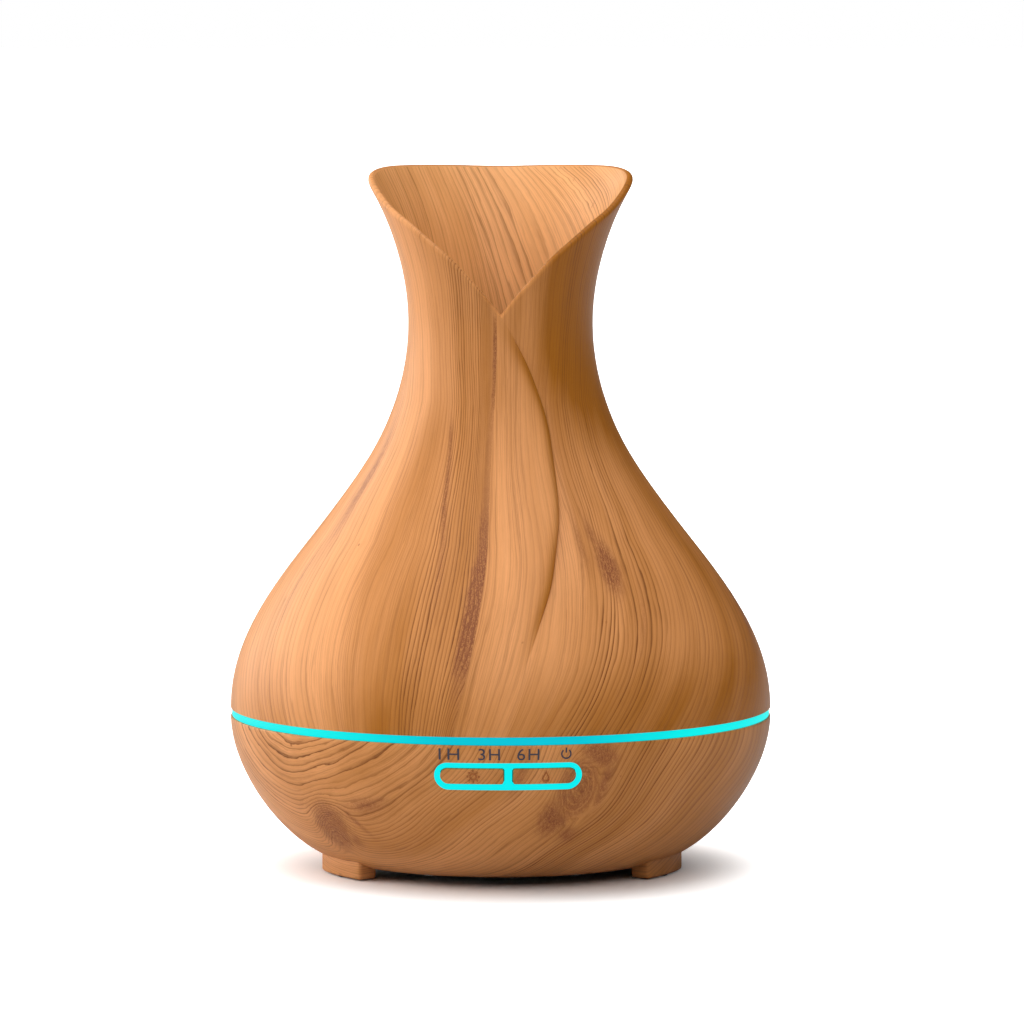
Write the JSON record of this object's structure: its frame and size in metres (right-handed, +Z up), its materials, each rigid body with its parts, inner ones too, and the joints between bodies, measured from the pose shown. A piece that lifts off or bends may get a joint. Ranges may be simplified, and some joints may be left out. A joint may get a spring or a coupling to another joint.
{
  "type": "essential oil diffuser",
  "caption": "Vase-shaped ultrasonic essential oil diffuser with wood-grain shell, lift-off cover and lid over a water tank, lit ring and push-button panel.",
  "frame": {"origin": "on the floor under the middle of the base", "axes": "+Z up; the button panel faces -Y and the power inlet faces +Y"},
  "size_m": [0.1684, 0.1684, 0.2178],
  "materials": {
    "wood_print_shell": "satin wood-grain transfer print on moulded plastic",
    "white_translucent": "natural white polypropylene",
    "glow_diffuser": "frosted light guide, lit cyan",
    "rubber": "soft dark elastomer",
    "black_plastic": "fine textured",
    "circuit_board": "solder mask",
    "steel": "bright",
    "aluminium": "extruded",
    "ceramic_disc": "fired electrode coating",
    "led_lens": "clear epoxy",
    "lead_red": "insulation",
    "lead_black": "insulation"
  },
  "bodies": {
    "base": {"base_housing": "wood_print_shell", "water_tank": "white_translucent", "light_ring": "glow_diffuser", "panel_bezel": "glow_diffuser", "foot_pad_front_left": "rubber", "foot_pad_front_right": "rubber", "foot_pad_rear_left": "rubber", "foot_pad_rear_right": "rubber", "tank_gasket": "rubber", "transducer_seal": "rubber", "fan_duct": "rubber", "bottom_cover": "black_plastic", "dc_jack": "black_plastic", "fan_housing": "black_plastic", "driver_chip": "black_plastic", "inductor": "black_plastic", "capacitor": "black_plastic", "button_board": "circuit_board", "light_led_board": "circuit_board", "main_board": "circuit_board", "base_screw_1": "steel", "base_screw_2": "steel", "base_screw_3": "steel", "base_screw_4": "steel", "transducer_screw_1": "steel", "transducer_screw_2": "steel", "transducer_screw_3": "steel", "transducer_retainer": "steel", "dc_jack_pin": "steel", "light_switch": "steel", "mist_switch": "steel", "heat_sink": "aluminium", "transducer_disc": "ceramic_disc", "light_led_1": "led_lens", "light_led_2": "led_lens", "light_led_3": "led_lens", "light_led_4": "led_lens", "light_led_5": "led_lens", "light_led_6": "led_lens", "timer_led_1h": "led_lens", "timer_led_3h": "led_lens", "timer_led_6h": "led_lens", "timer_led_on": "led_lens", "transducer_lead": "lead_red", "fan_lead": "lead_black", "inlet_lead": "lead_black", "button_lead": "lead_black", "ring_lead": "lead_black"},
    "cover": {"vase_cover": "wood_print_shell"},
    "lid": {"inner_lid": "white_translucent"},
    "light_key": {"light_button": "wood_print_shell", "light_switch_plunger": "black_plastic"},
    "mist_key": {"mist_button": "wood_print_shell", "mist_switch_plunger": "black_plastic"},
    "rotor": {"fan_rotor": "black_plastic"}
  },
  "joints": [
    {"name": "cover_lift", "type": "slide", "parent": "base", "child": "cover", "axis": [0, 0, 1], "range_m": [0, 0.2]},
    {"name": "lid_lift", "type": "slide", "parent": "base", "child": "lid", "axis": [0, 0, 1], "range_m": [0, 0.07]},
    {"name": "light_key_press", "type": "slide", "parent": "base", "child": "light_key", "axis": [0, 1, 0], "range_m": [0, 0.0006], "stiffness_N_per_m": 1500, "springref_m": -0.0003},
    {"name": "mist_key_press", "type": "slide", "parent": "base", "child": "mist_key", "axis": [0, 1, 0], "range_m": [0, 0.0006], "stiffness_N_per_m": 1500, "springref_m": -0.0003},
    {"name": "fan_spin", "type": "hinge", "parent": "base", "child": "rotor", "pos_m": [-0.0345, 0, 0.0115], "axis": [0, 0, 1], "continuous": true}
  ],
  "couplings": [
    {"joint": "lid_lift", "follows": "cover_lift", "ratio": 0.35}
  ]
}
